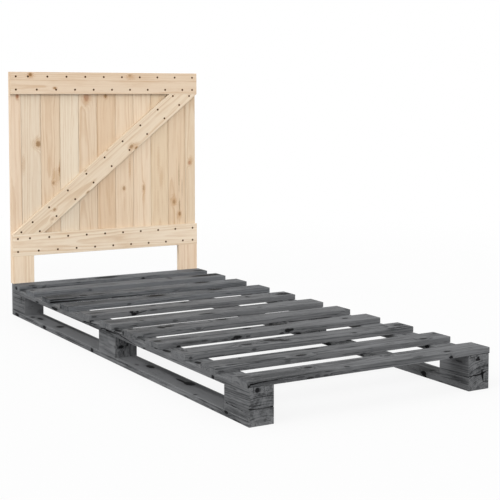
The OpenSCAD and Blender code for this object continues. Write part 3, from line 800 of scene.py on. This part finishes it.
# blocks: sawn from one thick beam, so their rings are wide and their cut ends show
blocks = {
    "block_foot_left": {"pith": (-12, -232.5), "tilt": 0.05, "ring": 6.0, "wander": 1.8,
        "seed": 31.0, "darker": 0.18, "faces": {"front": 0.11, "left": 0.02},
        "stains": [((-72, -8, -28), (30, 18, 8), 0.2), ((0, 42, -30), (60, 8, 7), 0.5),
        ((-8, 42, 28), (28, 6, 4), 0.4), ((-72, 0, -8), (14, 40, 5), 0.35)],
        "splits": [((-72, 44, -4.3), (-72, 0, -8), 3.6, 0.4), ((-72, -44, -6), (-72, 4, -8), 3.6, 0.4),
        ((-72, 40, 4), (-72, -8, 3), 1.7, 0.6), ((60, 42, -14), (-72, 42, -18), 3, 2)],
        "cracks": [((-72, 45, -4.3), (-72, -8, -8), 2.6, 9), ((-72, -45, -6), (-72, 0, -8), 2.4, 7)]},
    "block_foot_right": {"pith": (-30, -110), "tilt": 0.04, "ring": 7.0, "wander": 7.0, "bold": 1.5,
        "seed": 32.0, "darker": 0.04, "faces": {"left": -0.2, "front": 0.12},
        "knots": [((-24, 42, 31), (17, 4, 3), 0.5)],
        "stains": [((-30, 42, -28), (50, 6, 8), 0.6), ((-20, 42, 32), (30, 6, 5), 0.4),
        ((-72, -10, -6), (14, 24, 18), 0.3)],
        "splits": [((-72, -12, -6), (-72, 6, -9), 6, 1), ((-72, 0, -8.4), (-72, 44, -9.5), 5, 0.6),
        ((-72, -15, -6), (-72, -13, 6), 9, 1), ((-72, -12, 6), (-72, -22, 7), 4, 1),
        ((-72, -15, -6), (-72, -19, -30), 12, 1), ((-72, -16, -6), (-72, -34, 1), 7, 1),
        ((-72, -6, 19), (-72, 32, 6), 1.6, 1.5), ((-72, 41.5, -12), (30, 41.5, -16), 2.6, 1)],
        "cracks": [((-72, -17, -5), (-72, 6, -9), 4.4, 12), ((-72, -2, -7.8), (-72, 45, -9.5), 3.6, 10),
        ((-72, -15, -8), (-72, -13, 6), 7, 14), ((-72, -15, -3), (-72, -20, -33), 9, 14),
        ((-72, -13, -6), (-72, -35, 1), 5, 10)]},
    "block_middle_left": {"pith": (-230, -10), "tilt": 0.01, "ring": 8.0, "wander": 1.5, "bold": 2.0,
        "seed": 38.0, "faces": {"left": 0.12},
        "knots": [((-72, 19, 0), (10, 10, 6), 1), ((-72, 11, -22), (8, 3, 8), 0.7),
        ((-72, -5, 5), (7, 4, 6), 0.8), ((-72, 1, -1), (5, 3, 7), 0.5)]},
    "block_middle_right": {"pith": (-90, 20), "tilt": 0.03, "ring": 7.6, "wander": 8.0, "bold": 2.0,
        "seed": 34.0},
    "block_head_left": {"pith": (10, -120), "tilt": 0.03, "ring": 8.0, "wander": 5.0,
        "seed": 35.0, "darker": 0.22, "faces": {"front": -0.64},
        "stains": [((-8, 41.5, -32), (60, 8, 7), 0.5), ((-72, -28, -26), (8, 12, 10), 0.4)],
        "splits": [((-32, 42, 34), (-31, 42, 4), 6, 1)],
        "cracks": [((-32, 41.5, 39), (-31, 41.5, 4), 4, 8)]},
    "block_head_right": {"pith": (20, -85), "tilt": 0.03, "ring": 8.0, "wander": 8.0, "bold": 1.7,
        "seed": 36.0},
}
for name, board in blocks.items():
    timberBoard(name, board, "along", "greyStain")
print("blocks stained")

for boards, lie in ((slats, "across"), (beams, "along"), (blocks, "along")):
    for name, board in boards.items():
        if "cracks" in board:
            cutCracks(name, board["cracks"], lie)
print("cracks cut")

redKnot = (0.43, 0.19, 0.1)
# planks: along is up from the middle of the plank, across is towards the left side
planks = {
    "plank_01": {"pith": (18, -62), "tilt": 0.01, "ring": 5.0, "seed": 41.0,
        "knotColour": redKnot,
        "knots": [((349, -7, 6), (9, 5, 20), 0.9)]},
    "plank_02": {"pith": (-20, -70), "tilt": 0.008, "ring": 5.6, "seed": 42.0, "tint": (0.97, 1.02, 1.05),
        "knots": [((85, -29, 6), (12, 11, 20), 0.8)],
        "stains": [((106, -28, 6), (14, 10, 12), 0.3), ((0, 38, 6), (40, 7, 12), 0.4)]},
    "plank_03": {"pith": (10, -66), "tilt": -0.01, "ring": 5.2, "seed": 43.0, "tint": (0.95, 0.94, 0.91),
        "knots": [((-30, -37, 6), (14, 3, 20), 0.7), ((-86, -9, 6), (7, 5, 20), 0.55)],
        "stains": [((-58, -22, 6), (34, 18, 12), 0.4)],
        "streaks": [((-26, -38, 6), (40, 3, 12), 0.45)]},
    "plank_04": {"pith": (-34, -80), "tilt": 0.006, "ring": 4.6, "seed": 44.0, "tint": (1.01, 1.08, 1.12)},
    "plank_05": {"pith": (24, -58), "tilt": 0.012, "ring": 5.4, "seed": 45.0, "tint": (0.96, 0.96, 0.94),
        "knotColour": redKnot,
        "knots": [((288, 9, 6), (20, 12, 20), 0.6)],
        "stains": [((266, 12, 6), (18, 12, 12), 0.3)]},
    "plank_06": {"pith": (-10, -74), "tilt": -0.008, "ring": 5.0, "seed": 46.0, "tint": (0.93, 0.88, 0.81),
        "knots": [((293, 5, 6), (9, 6, 20), 0.8)]},
    "plank_07": {"pith": (14, -64), "tilt": 0.009, "ring": 5.6, "seed": 47.0, "tint": (1.0, 0.99, 0.96),
        "knots": [((-123, 6, 6), (9, 6, 20), 0.6)],
        "stains": [((-37, -23, 6), (44, 5, 12), 0.5), ((-190, 4, 6), (40, 3, 12), 0.25)]},
    "plank_08": {"pith": (-26, -60), "tilt": -0.011, "ring": 5.2, "seed": 48.0, "tint": (1.04, 1.05, 1.04),
        "knots": [((-125, -4, 6), (12, 5, 20), 0.45)],
        "stains": [((-150, -5, 6), (46, 6, 12), 0.35)]},
    "plank_09": {"pith": (0, -52), "tilt": 0.016, "ring": 6.0, "seed": 49.0, "tint": (0.96, 0.95, 0.89),
        "stains": [((0, 8, 6), (60, 7, 12), 0.32), ((-85, -5, 6), (46, 9, 12), 0.36),
        ((-190, 12, 6), (60, 4, 12), 0.25)]},
    "plank_10": {"pith": (28, -68), "tilt": 0.008, "ring": 5.0, "seed": 50.0, "tint": (0.95, 0.93, 0.88),
        "knots": [((-196, 17, 6), (9, 6, 20), 0.52), ((-252, -12, 6), (9, 6, 20), 0.76)],
        "stains": [((-190, 19, 6), (26, 15, 12), 0.55), ((-262, -8, 6), (20, 13, 12), 0.35)],
        "streaks": [((-82, -9, 6), (60, 3, 12), 0.5), ((-130, -25, 6), (40, 2.5, 12), 0.36),
        ((-214, -11, 6), (28, 4, 12), 0.55)]},
    "plank_11": {"pith": (-12, -60), "tilt": 0.01, "ring": 5.4, "seed": 51.0, "tint": (0.95, 0.96, 0.93),
        "knotColour": redKnot,
        "knots": [((41, 3, 6), (9, 7, 20), 0.62)],
        "stains": [((52, -4, 6), (20, 11, 12), 0.45)]},
}
for name, board in planks.items():
    timberBoard(name, board, "upright", "pine")

# rails, brace and legs of the headboard
rails = {
    "top_rail": {"pith": (-16, -56), "tilt": 0.006, "ring": 5.4, "patchy": 1.6, "seed": 61.0,
        "tint": (0.95, 0.95, 0.94), "nails": "top_rail_nails",
        "knots": [((-357, 36, 9), (7, 7, 16), 1), ((-247, -21, 9), (7, 4, 16), 0.8),
        ((108, 36, 9), (7, 5, 16), 0.5)],
        "stains": [((112, 28, 9), (22, 14, 10), 0.42), ((-357, 30, 9), (18, 12, 10), 0.35)]},
    # painted light: the bottom rail's pale tint lifts it out of the shade and grey bounce of the base below
    "bottom_rail": {"pith": (4, -48), "tilt": -0.014, "ring": 6.0, "patchy": 1.6, "seed": 62.0,
        "tint": (1.07, 1.13, 1.17), "nails": "bottom_rail_nails",
        "stains": [((47, 3, 9), (26, 10, 10), 0.28), ((80, -28, 9), (34, 12, 10), 0.2),
        ((-250, -20, 9), (60, 9, 10), 0.2)]},
}
for name, board in rails.items():
    timberBoard(name, board, "rail", "pine")

brace = {"pith": (-14, -54), "tilt": 0.01, "ring": 5.6, "patchy": 1.6, "seed": 63.0,
    "tint": (1.0, 1.04, 1.05), "nails": "brace_nails",
    "knots": [((129, -20, 9), (10, 7, 16), 0.66), ((145, -41, 9), (7, 5, 12), 0.9),
    ((-324, 2, 9), (7, 5, 16), 0.68), ((-358, -24, 9), (7, 5, 14), 0.36),
    ((-159, -41, 9), (7, 3, 12), 0.65), ((30, 42, 9), (6, 3, 12), 0.4), ((-106, 39, 9), (7, 4, 12), 0.4)],
    "stains": [((142, -28, 9), (26, 14, 10), 0.42)]}
braceSlope = math.radians(38.64)
lying["brace"] = Matrix(((math.cos(braceSlope), -math.sin(braceSlope), 0), (0, 0, -1),
                         (math.sin(braceSlope), math.cos(braceSlope), 0)))
timberBoard("diagonal_brace", brace, "brace", "pine", half=(560.0, 43.5, 9.0))

legs = {
    # painted light: the legs' pale tints lift them out of the shade and grey bounce of the base below
    "leg_left": {"pith": (16, -64), "tilt": 0.006, "ring": 5.4, "seed": 71.0, "tint": (1.08, 1.11, 1.12),
        "knots": [((-269, 42, 6), (8, 4, 12), 0.6)]},
    "leg_right": {"pith": (-20, -58), "tilt": -0.008, "ring": 5.6, "seed": 72.0,
        "tint": (1.05, 1.05, 1.05)},
}
stainTop = 134.0  # mm above the floor, level with the slats
for name, board in legs.items():
    low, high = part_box(name)
    timberBoard(name, board, "upright", "pine", lower=stainTop - 500.0 * (low[2] + high[2]))
print("headboard finished")

# nails, screws and coach screws
fixings = {
    "nails": {
        "nodes": ["top_rail_nails", "bottom_rail_nails", "brace_nails", "leg_nails"],
        "bright": (0.050, 0.020, 0.005), "dull": (0.020, 0.008, 0.002),
        "roughness": 0.8, "metallic": 0.0, "gloss": 0.05},
    "stained nails": {
        "nodes": ["slat_nails"],
        "bright": (0.110, 0.112, 0.115), "dull": (0.055, 0.056, 0.058),
        "roughness": 0.6, "metallic": 0.1, "gloss": 0.3},
    "zinc": {
        "nodes": ["stringer_screws", "runner_screws", "leg_bolts", "leg_washers"],
        "bright": (0.62, 0.61, 0.55), "dull": (0.36, 0.35, 0.31),
        "roughness": 0.34, "metallic": 0.95, "gloss": 0.5},
}
mottle = {"scale": 900.0, "rough": 0.2}  # patches of about a millimetre
for name, look in fixings.items():
    material, tree, shader = newMaterial(name)
    where = tree.nodes.new("ShaderNodeTexCoord").outputs["Object"]
    patch = noise(tree, scaled(tree, where, mottle["scale"]), 3.0).outputs[0]
    colour = mixed(tree, patch, rgba(look["bright"]), rgba(look["dull"]))
    tree.links.new(colour, shader.inputs["Base Color"])
    rough = added(tree, look["roughness"] - mottle["rough"] / 2, patch, mottle["rough"])
    tree.links.new(rough, shader.inputs["Roughness"])
    shader.inputs["Metallic"].default_value = look["metallic"]
    shader.inputs["Specular IOR Level"].default_value = look["gloss"]
    for node in look["nodes"]:
        dress(node, material)
print("nails and screws finished")


# studio: pale floor, even white surround, broad soft lamps from the foot and the left side
studio = {
    "around": 0.75,
    "lamps": {  # direction of the lamp, its strength and its spread in degrees
        "foot lamp": ((-0.05, -0.42, 0.14), 1.14, 45.0),
        "side lamp": ((-0.48, -0.05, 0.33), 1.32, 45.0),
    },
    "lampDistance": 4.0,
    "floorColour": (0.80, 0.80, 0.80),
    "floorBounce": (0.44, 0.44, 0.44),
    "floorSize": 40.0,
    "shadowShare": 0.13,
    "shadowReach": (2.2, 5.0),
}


def addStudio(setup):
    world = bpy.data.worlds.new("studio")
    bpy.context.scene.world = world
    world.use_nodes = True
    tree = world.node_tree
    ray = tree.nodes.new("ShaderNodeLightPath")
    seen = calc(tree, "MAXIMUM", ray.outputs["Is Camera Ray"],
                calc(tree, "MAXIMUM", ray.outputs["Is Glossy Ray"], ray.outputs["Is Transmission Ray"]))
    back = tree.nodes["Background"]
    back.inputs["Color"].default_value = (1.0, 1.0, 1.0, 1.0)
    put(tree, added(tree, setup["around"], seen, 1.0 - setup["around"]), back.inputs["Strength"])
    for name, (place, strength, spread) in setup["lamps"].items():
        light = bpy.data.lights.new(name, "SUN")
        light.energy = strength
        light.angle = math.radians(spread)
        lamp = bpy.data.objects.new(name, light)
        lamp.location = Vector(place).normalized() * setup["lampDistance"]
        lamp.rotation_euler = Vector(place).to_track_quat("Z", "Y").to_euler()
        bpy.context.collection.objects.link(lamp)


def addFloor(setup):
    bpy.ops.object.select_all(action="DESELECT")
    bpy.ops.mesh.primitive_plane_add(size=setup["floorSize"], location=(0.0, 0.0, 0.0))
    floor = bpy.context.object
    floor.name = "floor"
    material, tree, shader = newMaterial("floor")
    seen = tree.nodes.new("ShaderNodeLightPath").outputs["Is Camera Ray"]
    bare = mixed(tree, seen, rgba(setup["floorBounce"]), rgba(setup["floorColour"]))
    tree.links.new(bare, shader.inputs["Base Color"])
    shader.inputs["Roughness"].default_value = 0.9
    shader.inputs["Specular IOR Level"].default_value = 0.0
    glow = tree.nodes.new("ShaderNodeEmission")
    where = tree.nodes.new("ShaderNodeTexCoord").outputs["Object"]
    far = step(tree, calcVector(tree, "LENGTH", where), *setup["shadowReach"])
    white = added(tree, 1.0 - setup["shadowShare"], far, setup["shadowShare"])
    blend = tree.nodes.new("ShaderNodeMixShader")
    put(tree, times(tree, white, seen), blend.inputs[0])
    tree.links.new(shader.outputs[0], blend.inputs[1])
    tree.links.new(glow.outputs[0], blend.inputs[2])
    tree.links.new(blend.outputs[0], tree.nodes["Material Output"].inputs["Surface"])
    floor.data.materials.append(material)


addStudio(studio)
addFloor(studio)
view = bpy.context.scene.view_settings
view.view_transform = "Standard"
print("studio set")
